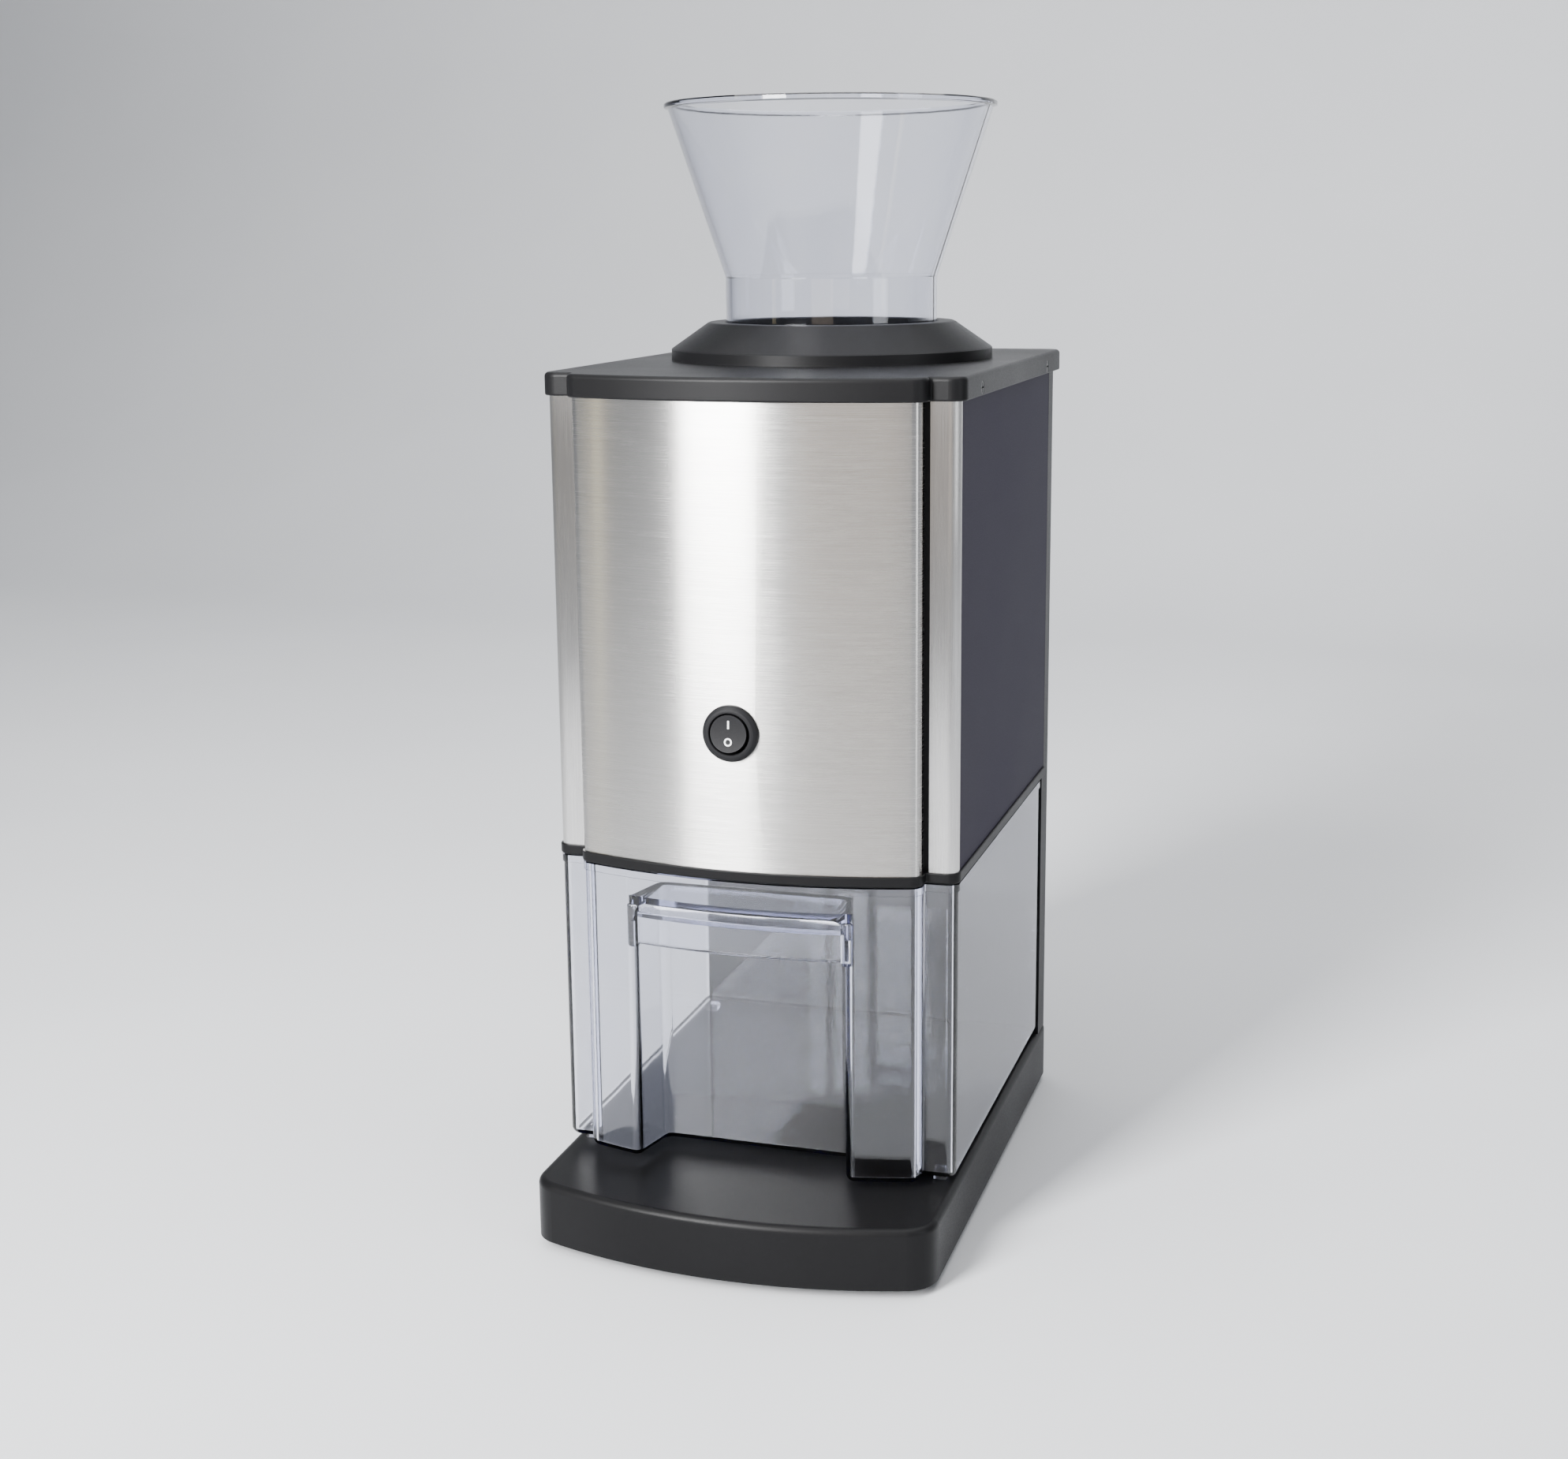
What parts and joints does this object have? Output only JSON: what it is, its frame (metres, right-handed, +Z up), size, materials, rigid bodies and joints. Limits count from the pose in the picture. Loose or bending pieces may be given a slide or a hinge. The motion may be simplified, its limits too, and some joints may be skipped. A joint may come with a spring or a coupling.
{
  "type": "electric ice crusher",
  "caption": "Countertop electric ice crusher with clear lift-off hopper, bowed brushed-steel front, rocker switch and clear pull-out ice container.",
  "frame": {"origin": "middle of the footprint, on the table under the feet", "axes": "+X to the right of someone facing the switch, -Y out of the front with the switch, +Z up"},
  "size_m": [0.175, 0.2628, 0.4695],
  "materials": {
    "brushed_steel": "fine horizontal brushing",
    "plain_steel": "bright machined",
    "zinc_screw": "zinc plated",
    "black_screw": "black oxide, satin",
    "black_plastic": "satin, very fine grain",
    "frame_plastic": "plain moulded",
    "switch_black": "semi-gloss",
    "charcoal_panel": "smooth satin charcoal lacquer",
    "clear_plastic": "clear moulded plastic",
    "rubber": "matte",
    "bronze": "sintered bronze",
    "blade_steel": "ground stainless",
    "gear_nylon": "natural nylon",
    "gear_steel": "hobbed and oiled",
    "can_steel": "zinc chromate grey",
    "magnet": "ferrite",
    "carbon": "pressed carbon",
    "winding": "enamelled copper over laminations",
    "copper": "turned copper",
    "wire_pvc": "PVC sleeve"
  },
  "bodies": {
    "machine": {"base_tray": "black_plastic", "rubber_feet": "rubber", "column_screws": "zinc_screw", "rear_shell": "black_plastic", "housing_floor": "black_plastic", "front_frame": "frame_plastic", "front_panel": "brushed_steel", "corner_strip_left": "brushed_steel", "corner_strip_right": "brushed_steel", "side_panel_left": "charcoal_panel", "side_panel_right": "charcoal_panel", "top_cap": "black_plastic", "cap_screws": "black_screw", "collar": "black_plastic", "crusher_chamber": "frame_plastic", "comb_blades": "blade_steel", "shaft_bushes": "bronze", "gear_pin": "plain_steel", "gearbox_case": "frame_plastic", "gearbox_cover": "frame_plastic", "gearbox_screws": "zinc_screw", "motor_can": "can_steel", "motor_end_caps": "can_steel", "motor_magnets": "magnet", "motor_brushes": "carbon", "chute": "frame_plastic", "chute_screws": "zinc_screw", "switch_body": "switch_black", "switch_bezel": "switch_black", "interlock_body": "switch_black", "cable_gland": "rubber", "wiring": "wire_pvc"},
    "hopper": {"hopper": "clear_plastic"},
    "container": {"container": "clear_plastic", "handle_bar": "clear_plastic"},
    "crusher_rotor": {"crusher_shaft": "plain_steel", "crusher_blades": "blade_steel", "blade_spacers": "plain_steel", "final_gear": "gear_nylon"},
    "middle_gear": {"middle_gear": "gear_nylon"},
    "motor_rotor": {"motor_shaft": "plain_steel", "motor_pinion": "gear_steel", "armature": "winding", "commutator": "copper", "cooling_fan": "frame_plastic"},
    "rocker": {"rocker": "switch_black"},
    "plunger": {"interlock_plunger": "switch_black"}
  },
  "joints": [
    {"name": "container_slide", "type": "slide", "parent": "machine", "child": "container", "axis": [0, -1, 0], "range_m": [0, 0.24]},
    {"name": "hopper_lift", "type": "slide", "parent": "machine", "child": "hopper", "axis": [0, 0, 1], "range_m": [0, 0.13]},
    {"name": "crusher_spin", "type": "hinge", "parent": "machine", "child": "crusher_rotor", "pos_m": [0, 0.0427, 0.318], "axis": [1, 0, 0], "continuous": true},
    {"name": "middle_gear_spin", "type": "hinge", "parent": "machine", "child": "middle_gear", "pos_m": [-0.068, 0.01021, 0.29466], "axis": [1, 0, 0], "continuous": true},
    {"name": "motor_spin", "type": "hinge", "parent": "machine", "child": "motor_rotor", "pos_m": [0, -0.0275, 0.29], "axis": [1, 0, 0], "continuous": true},
    {"name": "rocker_switch", "type": "hinge", "parent": "machine", "child": "rocker", "pos_m": [-0.0022, -0.0942, 0.2204], "axis": [1, 0, 0], "range_deg": [0, 10]},
    {"name": "interlock_press", "type": "slide", "parent": "machine", "child": "plunger", "axis": [0, 1, 0], "range_m": [0, 0.002], "stiffness_N_per_m": 300}
  ],
  "couplings": [
    {"joint": "middle_gear_spin", "follows": "crusher_spin", "ratio": -3},
    {"joint": "motor_spin", "follows": "crusher_spin", "ratio": 13.286}
  ]
}
